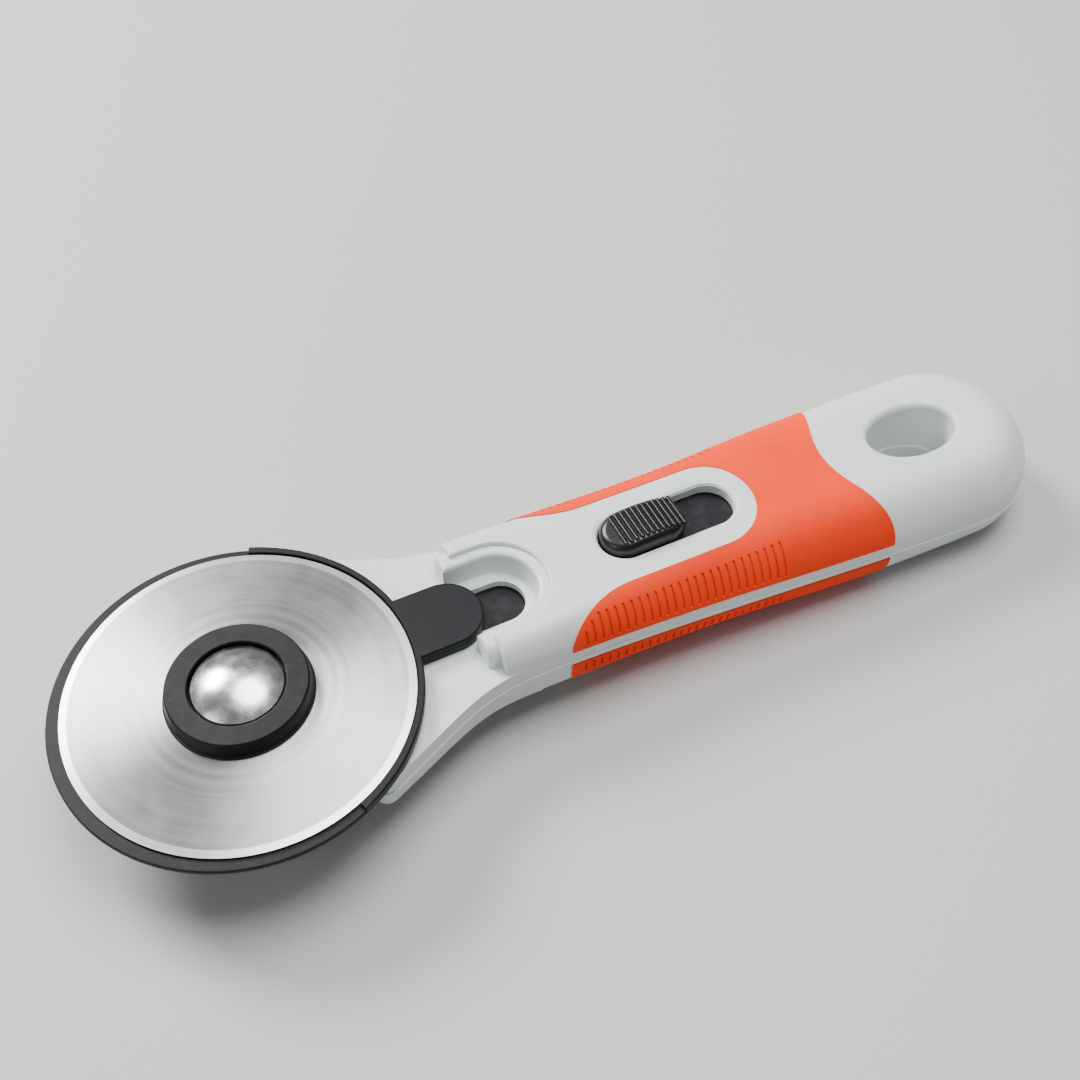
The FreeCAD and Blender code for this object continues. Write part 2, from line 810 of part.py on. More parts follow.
def make_guard_screw():
    base = guard_screw_base_z()
    head = cylinder(guard_screw_head_radius, base, base + guard_screw_head_height, post_x())
    top = base + guard_screw_head_height + guard_screw_length
    shank = cylinder(screw_radius, base, top - guide_play, post_x())
    return head.fuse(shank).cut(cross_recess(post_x(), 0, base))


def make_cap_ring():
    top = cap_bottom_z + cap_height
    base_top = cap_bottom_z + cap_base_height
    edge = cap_edge
    return turned([
        (blade_bore_radius, cap_bottom_z),
        (cap_radius, cap_bottom_z),
        (cap_radius, base_top - edge / 2),
        (cap_radius - edge / 2, base_top),
        (cap_radius - edge, base_top),
        (cap_top_radius + edge, top - edge),
        (cap_top_radius, top),
        (cap_mouth_radius + edge / 2, top),
        (cap_mouth_radius, top - edge / 2),
        (cap_mouth_radius, dome_bottom_z),
        (blade_bore_radius, dome_bottom_z),
    ])


def keyed(radius, half_flat, z0, z1):
    """A shaft with two flats."""
    shaft = cylinder(radius, z0, z1)
    return shaft.common(block(-radius, radius, -half_flat, half_flat, z0, z1))


def make_bolt():
    shoulder_radius = blade_bore_radius - running_play
    edge_z = dome_bottom_z + dome_edge_height
    crown_z = edge_z + dome_rise
    sphere_radius = (dome_radius ** 2 + dome_rise ** 2) / (2 * dome_rise)
    half_angle = math.asin(dome_radius / sphere_radius) / 2
    mid = Vec(sphere_radius * math.sin(half_angle), 0, crown_z - sphere_radius * (1 - math.cos(half_angle)))
    corners = [Vec(0, 0, dome_bottom_z), Vec(dome_radius, 0, dome_bottom_z), Vec(dome_radius, 0, edge_z)]
    crown = Vec(0, 0, crown_z)
    edges = [
        Part.LineSegment(corners[0], corners[1]).toShape(),
        Part.LineSegment(corners[1], corners[2]).toShape(),
        Part.Arc(corners[2], mid, crown).toShape(),
        Part.LineSegment(crown, corners[0]).toShape(),
    ]
    head = Part.Face(Part.Wire(edges)).revolve(Vec(0, 0, 0), UP, 360)
    shoulder = cylinder(shoulder_radius, bush_top_z, dome_bottom_z)
    key = keyed(shoulder_radius, bolt_flat_half_width, head_bottom_z, bush_top_z)
    tip = thread_radius / 4
    thread = turned([
        (0, thread_tip_z),
        (thread_radius - tip, thread_tip_z),
        (thread_radius, thread_tip_z + tip),
        (thread_radius, head_bottom_z),
        (0, head_bottom_z),
    ])
    return head.fuse([shoulder, key, thread])


def make_bush():
    sleeve = cylinder(bush_radius, head_bottom_z, bush_top_z)
    flange = cylinder(bush_flange_radius, head_top_z - bush_flange_thickness, head_top_z)
    bore = keyed(blade_bore_radius, bolt_flat_half_width + running_play, 0, high)
    return sleeve.fuse(flange).cut(bore)


def make_washer():
    low = nut_height + axial_play
    inner = thread_radius + slide_play
    return turned([
        (inner, head_bottom_z - washer_thickness),
        (washer_radius, low),
        (washer_radius, low + washer_thickness),
        (inner, head_bottom_z),
    ])


def make_nut():
    nut = cylinder(nut_radius, 0, nut_height)
    nut = rounded(nut, nut_edge_round, lambda edge: lies_at(edge, 0) or lies_at(edge, nut_height))
    reach = nut_radius + flute_radius - flute_depth
    for i in range(nut_flutes):
        angle = 2 * math.pi * i / nut_flutes
        nut = nut.cut(cylinder(flute_radius, -1, high, reach * math.cos(angle), reach * math.sin(angle)))
    dimple = turned([
        (0, -1),
        (dimple_radius, -1),
        (dimple_radius, 0),
        (dimple_floor_radius, insert_recess),
        (0, insert_recess),
    ])
    return nut.cut(dimple).cut(cylinder(insert_radius, 0, high))


def make_insert():
    insert = cylinder(insert_radius, insert_recess, nut_height)
    return insert.cut(cylinder(thread_radius + running_play, 0, high))


# Slide bar, button and spring


def bar_block(x0, x1, z0, z1):
    return block(x0, x1, -bar_half_width, bar_half_width, z0, z1)


def rod_across(radius, x, z, half_length):
    """A round rod across the handle."""
    return Part.makeCylinder(radius, 2 * half_length, Vec(x, -half_length, z), Vec(0, 1, 0))


def make_slide_bar():
    """The low end that carries the guard and the high end that carries the thumb button."""
    base = guard_screw_base_z()
    under = bar_high_top_z - bar_thickness
    link_end = bar_step_x + bar_step_length
    bar = bar_block(bar_front_x, link_end, base, bar_low_top_z)
    link = bar_block(bar_step_x, link_end, base, bar_high_top_z)
    tall = bar_block(bar_step_x, slot_end_x + bar_overlap, under, bar_high_top_z)
    bar = bar.fuse([link, tall]).removeSplitter()
    bar = bar.cut(cylinder(screw_radius, 0, high, post_x()))
    head_radius = guard_screw_head_radius + running_play
    bar = bar.cut(cylinder(head_radius, 0, base + guard_screw_head_height, post_x()))
    for x in (spring_centre_x, spring_centre_x - guard_travel):
        bar = bar.cut(rod_across(bead_radius + guide_play, x, under, 2 * bar_half_width))
    stem = obround(*stem_span(), button_stem_half_width, under, high)
    return bar.cut(stem)


def capsule(radius, half_length, centre):
    """A round-ended rod across the handle."""
    tip = half_length + radius
    slant = radius * math.sqrt(0.5)
    p = [Vec(0, -tip, 0), Vec(radius, -half_length, 0), Vec(radius, half_length, 0), Vec(0, tip, 0)]
    edges = [
        Part.Arc(p[0], Vec(slant, -half_length - slant, 0), p[1]).toShape(),
        Part.LineSegment(p[1], p[2]).toShape(),
        Part.Arc(p[2], Vec(slant, half_length + slant, 0), p[3]).toShape(),
        Part.LineSegment(p[3], p[0]).toShape(),
    ]
    rod = Part.Face(Part.Wire(edges)).revolve(Vec(0, 0, 0), Vec(0, 1, 0), 360)
    rod.translate(centre)
    return rod


def button_span():
    x0 = slot_front_x + guide_play
    return x0, x0 + button_length


def stem_span():
    """The button's stem, from behind the rear notch that the spring's bead drops into."""
    notch_x = spring_centre_x - guard_travel
    return notch_x + bead_radius + 2 * guide_play, button_span()[1] - slot_half_width


def make_button():
    """The crowned thumb button with its cross ribs, and the stem that fills the slide bar's slot."""
    x0, x1 = button_span()
    middle = (x0 + x1) / 2
    top = bar_high_top_z + button_height
    crown_z = top - button_crown_radius
    body = obround(x0, x1, slot_half_width - slide_play, bar_high_top_z, top + 1)
    body = body.common(rod_across(button_crown_radius, middle, crown_z, wide))
    upper = [edge for edge in body.Edges if edge.BoundBox.ZMin > bar_high_top_z + 1.0]
    body = body.makeFillet(button_edge_round, [edge for edge in upper if edge.Length > 1])
    first = middle - button_rib_pitch * (button_rib_count - 1) / 2 + button_rib_shift
    ribs = []
    for i in range(button_rib_count):
        x = first + button_rib_pitch * i
        z = crown_z + math.sqrt(button_crown_radius ** 2 - (x - middle) ** 2)
        ribs.append(capsule(button_rib_radius, button_rib_half_length, Vec(x, 0, z)))
    low = bar_high_top_z - bar_thickness
    stem = obround(*stem_span(), button_stem_half_width, low, bar_high_top_z + 1)
    return body.fuse(ribs + [stem])


def spring_foot_z():
    """The height of the ledges that the detent spring stands on, with its bead in the bar's notch."""
    return bar_high_top_z - bar_thickness - spring_thickness - spring_bow


def make_spring():
    """A bowed leaf with a bead across its crown, which sits in a notch under the slide bar."""
    foot = spring_foot_z()
    ends = spring_half_length + rail_thickness
    low_points = ((-ends, foot), (0, foot + spring_bow), (ends, foot))
    lower = [Vec(spring_centre_x + x, 0, z) for x, z in low_points]
    upper = [point + Vec(0, 0, spring_thickness) for point in lower]
    edges = [
        Part.Arc(lower[0], lower[1], lower[2]).toShape(),
        Part.LineSegment(lower[2], upper[2]).toShape(),
        Part.Arc(upper[2], upper[1], upper[0]).toShape(),
        Part.LineSegment(upper[0], lower[0]).toShape(),
    ]
    leaf = Part.Face(Part.Wire(edges)).extrude(Vec(0, 2 * spring_half_width, 0))
    leaf.translate(Vec(0, -spring_half_width, 0))
    bead = rod_across(bead_radius, spring_centre_x, upper[1].z, spring_half_width)
    bead = bead.common(block(-wide, 3 * wide, -wide, wide, lower[1].z, high))
    return leaf.fuse(bead)


def make_shell_screw(x, y):
    seat = screw_seat_z(x)
    head = cylinder(screw_head_radius, seat - screw_head_height, seat, x, y)
    shank = cylinder(screw_radius, seat, seat + screw_length, x, y)
    return head.fuse(shank).cut(cross_recess(x, y, seat - screw_head_height))


def write(name, shape):
    """Moves a piece into the shared frame and writes it."""
    solid = shape.removeSplitter()
    solid = solid.Solids[0] if len(solid.Solids) == 1 else solid
    solid.translate(Vec(-middle_x, 0, 0))
    solid.exportStep("parts/%s.step" % name)
    print("%-16s solids %d, volume %.0f" % (name, len(solid.Solids), solid.Volume))


def main():
    os.makedirs("parts", exist_ok=True)
    front_grip, back_grip, upper_bed, lower_bed = make_grips()
    form = body_with_ledge().fuse(head_form())
    cavity = handle_cavity()
    write("front_shell", make_front_shell(form, upper_bed, cavity))
    write("back_shell", make_back_shell(form, lower_bed, cavity))
    write("front_grip", front_grip)
    write("back_grip", back_grip)
    write("blade", make_blade())
    write("blade_guard", make_guard())
    write("guard_screw", make_guard_screw())
    write("cap_ring", make_cap_ring())
    write("blade_bolt", make_bolt())
    write("axle_bush", make_bush())
    write("spring_washer", make_washer())
    write("lock_nut", make_nut())
    write("nut_insert", make_insert())
    write("slide_bar", make_slide_bar())
    write("thumb_button", make_button())
    write("detent_spring", make_spring())
    for number, (x, y) in enumerate(screw_places(), 1):
        write("shell_screw_%d" % number, make_shell_screw(x, y))


main()
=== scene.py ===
"""The looks of a 60 mm rotary cutter with a sliding blade guard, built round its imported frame."""

import json
import logging
import math
from dataclasses import dataclass
from enum import Enum
from typing import Dict, Sequence, Tuple

import bpy
from mathutils import Matrix, Vector


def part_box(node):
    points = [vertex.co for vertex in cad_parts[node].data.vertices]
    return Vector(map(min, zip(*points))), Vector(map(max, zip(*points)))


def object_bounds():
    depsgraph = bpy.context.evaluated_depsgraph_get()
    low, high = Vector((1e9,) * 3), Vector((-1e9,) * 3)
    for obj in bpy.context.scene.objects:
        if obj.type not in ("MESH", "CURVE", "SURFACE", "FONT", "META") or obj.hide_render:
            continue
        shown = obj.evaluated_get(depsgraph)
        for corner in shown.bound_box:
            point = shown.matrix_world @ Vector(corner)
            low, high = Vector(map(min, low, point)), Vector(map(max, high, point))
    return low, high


Colour = Tuple[float, float, float]
Socket = bpy.types.NodeSocket
log = logging.getLogger("cutter")

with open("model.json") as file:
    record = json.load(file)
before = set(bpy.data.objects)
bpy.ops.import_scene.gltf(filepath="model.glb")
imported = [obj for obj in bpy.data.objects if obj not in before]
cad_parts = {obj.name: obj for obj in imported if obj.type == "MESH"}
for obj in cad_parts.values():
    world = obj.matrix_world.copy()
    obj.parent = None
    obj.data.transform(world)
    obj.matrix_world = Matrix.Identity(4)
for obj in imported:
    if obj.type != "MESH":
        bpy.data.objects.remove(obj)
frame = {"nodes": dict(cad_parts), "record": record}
CAD_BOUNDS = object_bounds()

MM = 0.001
STAIN_REACH = 30 * MM
BLADE_BEVEL = 1.3 * MM
WORN_POINTINESS = (0.53, 0.6)
DUST_COLOUR = (0.6, 0.6, 0.58)
STAIN_COLOUR = (0.62, 0.53, 0.36)
# Painted highlight: the near-white colour of the blade's ground bevel ring stands in for the light it
# catches.
PAINTED_BEVEL_HIGHLIGHT = (0.84, 0.84, 0.82)
BLADE_SPECK_COLOUR = (0.95, 0.95, 0.93)
FLOOR_COLOUR = (0.52, 0.52, 0.51, 1.0)
SURROUND_COLOUR = (0.9, 0.92, 0.95, 1.0)
SURROUND_STRENGTH = 0.22


class Grain(Enum):
    """How a surface was finished in its mould or on its machine."""

    SATIN = "satin"
    SPARKED = "sparked"
    GLOSSY = "glossy"


GRAIN_SCALE: Dict[Grain, float] = {Grain.SATIN: 5200.0, Grain.SPARKED: 3600.0, Grain.GLOSSY: 7000.0}
GRAIN_DEPTH: Dict[Grain, float] = {
    Grain.SATIN: 0.012 * MM,
    Grain.SPARKED: 0.03 * MM,
    Grain.GLOSSY: 0.006 * MM,
}


def srgb(red: int, green: int, blue: int) -> Colour:
    """A linear colour from three 8-bit display values."""
    return tuple(((value / 255.0 + 0.055) / 1.055) ** 2.4 for value in (red, green, blue))


def middle(node: str) -> Vector:
    """The middle of a CAD node's box, in metres."""
    low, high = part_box(node)
    return (low + high) / 2.0


def deselect() -> None:
    """Leaves no object selected and none in edit mode."""
    if bpy.context.object and bpy.context.object.mode != "OBJECT":
        bpy.ops.object.mode_set(mode="OBJECT")
    bpy.ops.object.select_all(action="DESELECT")


class NodeGraph:
    """Builds the node tree of one material or one shader group."""

    def __init__(self, tree: bpy.types.NodeTree) -> None:
        """Starts on a tree.

        Args:
            tree: The tree that nodes are added to.
        """
        self.tree = tree

    def add(self, kind: str, inputs: Dict[str, object] = None, **settings: object) -> bpy.types.Node:
        """Adds a node.

        Args:
            kind: The node's type name.
            inputs: Socket name to a plain value, or to an output socket that feeds it.
            settings: Properties of the node itself.

        Returns:
            The new node.
        """
        node = self.tree.nodes.new(kind)
        for name, value in settings.items():
            setattr(node, name, value)
        for name, value in (inputs or {}).items():
            self.feed(node.inputs[name], value)
        return node

    def feed(self, socket: Socket, value: object) -> None:
        """Links an output socket to a socket, or sets its plain value.

        Args:
            socket: The input socket.
            value: An output socket, a number, or three or four numbers.
        """
        if isinstance(value, bpy.types.NodeSocket):
            self.tree.links.new(value, socket)
        elif isinstance(value, (tuple, list)) and socket.type == "RGBA" and len(value) == 3:
            socket.default_value = (*value, 1.0)
        else:
            socket.default_value = value

    def math(self, operation: str, first: object, second: object = 0.0, clamp: bool = False) -> Socket:
        """A math node's result.

        Args:
            operation: The math node's operation.
            first: The first input.
            second: The second input.
            clamp: Whether the result is kept between 0 and 1.

        Returns:
            The output socket.
        """
        node = self.add("ShaderNodeMath", operation=operation, use_clamp=clamp)
        self.feed(node.inputs[0], first)
        self.feed(node.inputs[1], second)
        return node.outputs[0]

    def mix(self, amount: object, first: object, second: object) -> Socket:
        """A colour between two colours.

        Args:
            amount: How much of the second colour shows.
            first: The first colour.
            second: The second colour.

        Returns:
            The output socket.
        """
        node = self.add("ShaderNodeMix", data_type="RGBA")
        self.feed(node.inputs[0], amount)
        self.feed(node.inputs[6], first)
        self.feed(node.inputs[7], second)
        return node.outputs[2]

    def span(
        self, value: object, low: float, high: float, to_low: float = 0.0, to_high: float = 1.0
    ) -> Socket:
        """A value moved smoothly from one range to another and kept inside it.

        Args:
            value: The input.
            low: The value that gives to_low.
            high: The value that gives to_high.
            to_low: The result at low.
            to_high: The result at high.

        Returns:
            The output socket.
        """
        inputs = {"Value": value, "From Min": low, "From Max": high, "To Min": to_low, "To Max": to_high}
        return self.add("ShaderNodeMapRange", inputs, interpolation_type="SMOOTHSTEP").outputs["Result"]

    def vector(self, operation: str, first: object, second: object = (0.0, 0.0, 0.0)) -> bpy.types.Node:
        """A vector math node.

        Args:
            operation: The node's operation.
            first: The first vector.
            second: The second vector.

        Returns:
            The node.
        """
        return self.add("ShaderNodeVectorMath", {0: first, 1: second}, operation=operation)

    def noise(self, place: object, scale: object, detail: float, **inputs: float) -> Socket:
        """A noise texture's value.

        Args:
            place: The coordinates.
            scale: The noise's scale.
            detail: The noise's detail.
            inputs: Any other sockets.

        Returns:
            The output socket.
        """
        sockets = {"Vector": place, "Scale": scale, "Detail": detail, **inputs}
        return self.add("ShaderNodeTexNoise", sockets).outputs["Fac"]

    def noise_along(self, distance: object, scale: float, detail: float, **inputs: float) -> Socket:
        """A noise that changes with one value only.

        Args:
            distance: The value.
            scale: The noise's scale.
            detail: The noise's detail.
            inputs: Any other sockets.

        Returns:
            The output socket.
        """
        sockets = {"W": distance, "Scale": scale, "Detail": detail, **inputs}
        return self.add("ShaderNodeTexNoise", sockets, noise_dimensions="1D").outputs["Fac"]

    def cells(self, place: object, scale: object) -> Socket:
        """The distance to the nearest point of a scatter.

        Args:
            place: The coordinates.
            scale: How closely the points lie.

        Returns:
            The output socket.
        """
        return self.add("ShaderNodeTexVoronoi", {"Vector": place, "Scale": scale}).outputs["Distance"]

    def group(self, tree: bpy.types.NodeTree, inputs: Dict[str, object]) -> bpy.types.Node:
        """Places a shader group.

        Args:
            tree: The group's tree.
            inputs: Socket name to value or output socket.

        Returns:
            The group node.
        """
        node = self.tree.nodes.new("ShaderNodeGroup")
        node.node_tree = tree
        for name, value in inputs.items():
            self.feed(node.inputs[name], value)
        return node


def new_group(name: str, inputs: Dict[str, float], outputs: Sequence[str]) -> Tuple:
    """A shader group that takes coordinates and numbers, and puts out numbers.

    Args:
        name: The group's name.
        inputs: Name and default of each number.
        outputs: Name of each output.

    Returns:
        The group's tree, its graph, and its input and output nodes.
    """
    tree = bpy.data.node_groups.new(name, "ShaderNodeTree")
    tree.interface.new_socket("Vector", in_out="INPUT", socket_type="NodeSocketVector")
    for socket_name, default in inputs.items():
        socket = tree.interface.new_socket(socket_name, in_out="INPUT", socket_type="NodeSocketFloat")
        socket.default_value = default
    for socket_name in outputs:
        tree.interface.new_socket(socket_name, in_out="OUTPUT", socket_type="NodeSocketFloat")
    graph = NodeGraph(tree)
    return tree, graph, tree.nodes.new("NodeGroupInput"), tree.nodes.new("NodeGroupOutput")


class Effects:
    """The shader groups that more than one finish uses."""

    def __init__(self) -> None:
        """Builds the groups once."""
        self.grain = self.build_grain()
        self.wear = self.build_wear()
        self.dust = self.build_dust()

    def build_grain(self) -> bpy.types.NodeTree:
        """A fine moulded texture.

        Returns:
            A group that puts out a height between 0 and 1.
        """
        tree, graph, start, end = new_group("moulded_grain", {"Scale": 3000.0, "Pits": 0.3}, ["Height"])
        place, scale = start.outputs["Vector"], start.outputs["Scale"]
        fine = graph.noise(place, scale, 3.0, Roughness=0.6)
        pits = graph.cells(place, graph.math("MULTIPLY", scale, 0.4))
        pits = graph.math("MULTIPLY", pits, start.outputs["Pits"])
        height = graph.math("SUBTRACT", fine, pits, clamp=True)
        graph.feed(end.inputs["Height"], height)
        return tree

    def build_wear(self) -> bpy.types.NodeTree:
        """Where edges and corners are rubbed.

        Returns:
            A group that puts out a mask between 0 and 1.
        """
        tree, graph, start, end = new_group("edge_wear", {"Scale": 300.0, "Amount": 0.5}, ["Mask"])
        point = graph.add("ShaderNodeNewGeometry").outputs["Pointiness"]
        edge = graph.span(point, *WORN_POINTINESS)
        patch = graph.noise(start.outputs["Vector"], start.outputs["Scale"], 5.0)
        broken = graph.span(patch, 0.42, 0.62)
        mask = graph.math("MULTIPLY", edge, broken)
        graph.feed(end.inputs["Mask"], graph.math("MULTIPLY", mask, start.outputs["Amount"], clamp=True))
        return tree

    def build_dust(self) -> bpy.types.NodeTree:
        """A sparse scatter of specks and a broad cloudy film.

        Returns:
            A group that puts out a mask of specks and a mask of film.
        """
        outputs = ["Specks", "Film"]
        tree, graph, start, end = new_group("dust", {"Scale": 900.0, "Amount": 0.3}, outputs)
        place, amount = start.outputs["Vector"], start.outputs["Amount"]
        dots = graph.span(graph.cells(place, start.outputs["Scale"]), 0.10, 0.05)
        thin = graph.noise(place, 160.0, 2.0)
        dots = graph.math("MULTIPLY", dots, graph.span(thin, 0.55, 0.68))
        graph.feed(end.inputs["Specks"], graph.math("MULTIPLY", dots, amount, clamp=True))
        cloud = graph.noise(place, 45.0, 4.0, Roughness=0.55)
        film = graph.span(cloud, 0.35, 0.75)
        graph.feed(end.inputs["Film"], graph.math("MULTIPLY", film, amount, clamp=True))
        return tree


class Finish:
    """One material, started with its shader and the piece's own coordinates."""

    def __init__(self, name: str, effects: Effects) -> None:
        """Starts a material.

        Args:
            name: The material's name.
            effects: The shared shader groups.
        """
        self.material = bpy.data.materials.new(name)
        self.material.use_nodes = True
        self.graph = NodeGraph(self.material.node_tree)
        self.shader = self.material.node_tree.nodes["Principled BSDF"]
        self.effects = effects
        self.place = self.graph.add("ShaderNodeTexCoord").outputs["Object"]

    def set(self, **values: object) -> None:
        """Sets or feeds the shader's sockets, named with _ for a space."""
        for name, value in values.items():
            self.graph.feed(self.shader.inputs[name.replace("_", " ")], value)

    def around(self, centre: Vector) -> Socket:
        """The piece's coordinates counted from a point."""
        shift = {"Vector": self.place, "Location": tuple(-value for value in centre)}
        return self.graph.add("ShaderNodeMapping", shift).outputs["Vector"]

    def bump(self, height: object, strength: float, distance: float, normal: object = None) -> Socket:
        """A bumped normal.

        Args:
            height: The height, between 0 and 1.
            strength: How much of the bump shows.
            distance: The depth in metres of a full height.
            normal: A normal to bump further, if there is one.

        Returns:
            The normal's socket.
        """
        inputs = {"Height": height, "Strength": strength, "Distance": distance}
        if normal is not None:
            inputs["Normal"] = normal
        return self.graph.add("ShaderNodeBump", inputs).outputs["Normal"]


@dataclass(frozen=True)
class MouldedPlastic:
    """A hard moulded plastic with a fine surface, faint film and rubbed edges."""

    name: str
    colour: Colour
    worn: Colour
    grain: Grain
    roughness: float
    wear: float
    dust: float
    shine: float = 0.5
    stained_from: float = 0.0
    stained_to: float = 0.0

    def build(self, effects: Effects) -> bpy.types.Material:
        """Builds the material.

        Args:
            effects: The shared shader groups.

        Returns:
            The material.
        """
        finish = Finish(self.name, effects)
        graph = finish.graph
        scale = GRAIN_SCALE[self.grain]
        grain = graph.group(effects.grain, {"Vector": finish.place, "Scale": scale, "Pits": 0.35})
        wear = graph.group(effects.wear, {"Vector": finish.place, "Scale": 420.0, "Amount": self.wear})
        dust = graph.group(effects.dust, {"Vector": finish.place, "Scale": 700.0, "Amount": self.dust})
        drift = graph.noise(finish.place, 28.0, 3.0)
        darker = tuple(value * 0.96 for value in self.colour)
        colour = graph.mix(graph.span(drift, 0.3, 0.7), darker, self.colour)
        if self.stained_to > self.stained_from:
            colour = self.stain(finish, colour)
        colour = graph.mix(wear.outputs["Mask"], colour, self.worn)
        colour = graph.mix(dust.outputs["Specks"], colour, DUST_COLOUR)
        rough = graph.math("ADD", graph.math("MULTIPLY", dust.outputs["Film"], 0.12), self.roughness)
        rough = graph.math("ADD", rough, graph.math("MULTIPLY", grain.outputs["Height"], 0.06))
        normal = finish.bump(grain.outputs["Height"], 1.0, GRAIN_DEPTH[self.grain])
        finish.set(Base_Color=colour, Roughness=rough, Normal=normal, Specular_IOR_Level=self.shine)
        return finish.material

    def stain(self, finish: Finish, colour: Socket) -> Socket:
        """Scuffs and a warm stain towards the end of the handle.

        Args:
            finish: The material being built.
            colour: The clean colour.

        Returns:
            The stained colour.
        """
        graph = finish.graph
        along = graph.add("ShaderNodeSeparateXYZ", {"Vector": finish.place}).outputs["X"]
        reach = graph.span(along, self.stained_from, self.stained_to)
        smear = graph.noise(finish.place, 120.0, 6.0, Roughness=0.7)
        mask = graph.math("MULTIPLY", reach, graph.span(smear, 0.5, 0.72))
        return graph.mix(graph.math("MULTIPLY", mask, 0.16), colour, STAIN_COLOUR)


@dataclass(frozen=True)
class SoftRubber:
    """The soft moulded grip."""

    name: str
    colour: Colour
    deep: Colour
    pale: Colour
    roughness: float

    def build(self, effects: Effects) -> bpy.types.Material:
        """Builds the material.

        Args:
            effects: The shared shader groups.

        Returns:
            The material.
        """
        finish = Finish(self.name, effects)
        graph = finish.graph
        grain = graph.group(effects.grain, {"Vector": finish.place, "Scale": 4200.0, "Pits": 0.5})
        dust = graph.group(effects.dust, {"Vector": finish.place, "Scale": 800.0, "Amount": 0.15})
        cloud = graph.noise(finish.place, 60.0, 4.0)
        colour = graph.mix(graph.span(cloud, 0.3, 0.7), self.deep, self.colour)
        colour = graph.mix(dust.outputs["Specks"], colour, self.pale)
        rough = graph.math("ADD", graph.math("MULTIPLY", dust.outputs["Film"], 0.2), self.roughness)
        normal = finish.bump(grain.outputs["Height"], 1.0, 0.03 * MM)
        finish.set(Base_Color=colour, Roughness=rough, Normal=normal, Specular_IOR_Level=0.15)
        return finish.material


@dataclass(frozen=True)
class GroundBlade:
    """Round-ground steel: rings about the axle, a hazier ground bevel painted paler as a highlight, and
    fine handling marks.
    """

    name: str
    centre: Vector
    radius: float
    bevel: float
    colour: Colour

    def build(self, effects: Effects) -> bpy.types.Material:
        """Builds the material.

        Args:
            effects: The shared shader groups.

        Returns:
            The material.
        """
        finish = Finish(self.name, effects)
        graph = finish.graph
        local = finish.around(self.centre)
        flat = graph.vector("MULTIPLY", local, (1.0, 1.0, 0.0)).outputs[0]
        reach = graph.vector("LENGTH", flat).outputs["Value"]
        in_mm = graph.math("MULTIPLY", reach, 1.0 / MM)
        rings = graph.noise_along(in_mm, 9.0, 6.0, Roughness=0.75)
        broad = graph.noise_along(in_mm, 0.9, 2.0)
        swirl = graph.noise(local, 130.0, 5.0, Distortion=0.8)
        shade = graph.math("MULTIPLY", rings, 0.2)
        shade = graph.math("ADD", shade, graph.math("MULTIPLY", broad, 0.35))
        shade = graph.math("ADD", shade, graph.math("MULTIPLY", swirl, 0.45))
        bevel_start = (self.radius - self.bevel) / MM
        bevel = graph.span(in_mm, bevel_start - 0.05, bevel_start + 0.05)
        dark = tuple(value * 0.9 for value in self.colour)
        colour = graph.mix(graph.span(shade, 0.35, 0.65), dark, self.colour)
        # Painted highlight: the bevel ring is mixed towards a near-white colour. Only its extra
        # roughness below is the real hazier grind.
        colour = graph.mix(bevel, colour, PAINTED_BEVEL_HIGHLIGHT)
        dust = graph.group(effects.dust, {"Vector": finish.place, "Scale": 520.0, "Amount": 0.8})
        colour = graph.mix(dust.outputs["Specks"], colour, BLADE_SPECK_COLOUR)
        scratch = self.scratches(finish, local)
        rough = graph.span(shade, 0.3, 0.7, 0.3, 0.36)
        rough = graph.math("ADD", rough, graph.math("MULTIPLY", bevel, 0.06))
        rough = graph.math("ADD", rough, graph.math("MULTIPLY", scratch, 0.2))
        normal = finish.bump(rings, 0.5, 0.001 * MM)
        normal = finish.bump(scratch, 0.5, 0.006 * MM, normal)
        tangent = graph.add("ShaderNodeTangent", direction_type="RADIAL", axis="Z").outputs[0]
        finish.set(Base_Color=colour, Metallic=1.0, Roughness=rough, Normal=normal, Tangent=tangent)
        finish.set(Anisotropic=0.75, Anisotropic_Rotation=0.25)
        return finish.material

    def scratches(self, finish: Finish, local: Socket) -> Socket:
        """Short fine marks from handling.

        Args:
            finish: The material being built.
            local: Coordinates about the axle.

        Returns:
            A mask of the marks.
        """
        graph = finish.graph
        masks = []
        for turn, size in ((0.4, 260.0), (1.9, 340.0)):
            place = {"Vector": local, "Rotation": (0.0, 0.0, turn), "Scale": (1.0, 0.06, 1.0)}
            laid = graph.add("ShaderNodeMapping", place).outputs["Vector"]
            masks.append(graph.span(graph.cells(laid, size), 0.06, 0.02))
        return graph.math("MAXIMUM", masks[0], masks[1])


@dataclass(frozen=True)
class PlatedMetal:
    """Polished or turned metal with a few pits."""

    name: str
    colour: Colour
    roughness: float
    pits: float
    pit_scale: float = 900.0
    grain_depth: float = 0.0

    def build(self, effects: Effects) -> bpy.types.Material:
        """Builds the material.

        Args:
            effects: The shared shader groups.

        Returns:
            The material.
        """
        finish = Finish(self.name, effects)
        graph = finish.graph
        pits = graph.span(graph.cells(finish.place, self.pit_scale), 0.3, 0.1)
        spread = graph.span(graph.noise(finish.place, 220.0, 2.0), 0.48, 0.62)
        pits = graph.math("MULTIPLY", graph.math("MULTIPLY", pits, spread), self.pits)
        haze = graph.noise(finish.place, 350.0, 5.0)
        dark = tuple(value * 0.45 for value in self.colour)
        colour = graph.mix(pits, self.colour, dark)
        rough = graph.span(haze, 0.3, 0.8, self.roughness, self.roughness * 1.8)
        normal = finish.bump(graph.math("SUBTRACT", 1.0, pits), 0.6, 0.02 * MM)
        if self.grain_depth:
            grain = graph.group(effects.grain, {"Vector": finish.place, "Scale": 2500.0, "Pits": 0.2})
            normal = finish.bump(grain.outputs["Height"], 0.6, self.grain_depth, normal)
        finish.set(Base_Color=colour, Metallic=1.0, Roughness=rough, Normal=normal)
        return finish.material


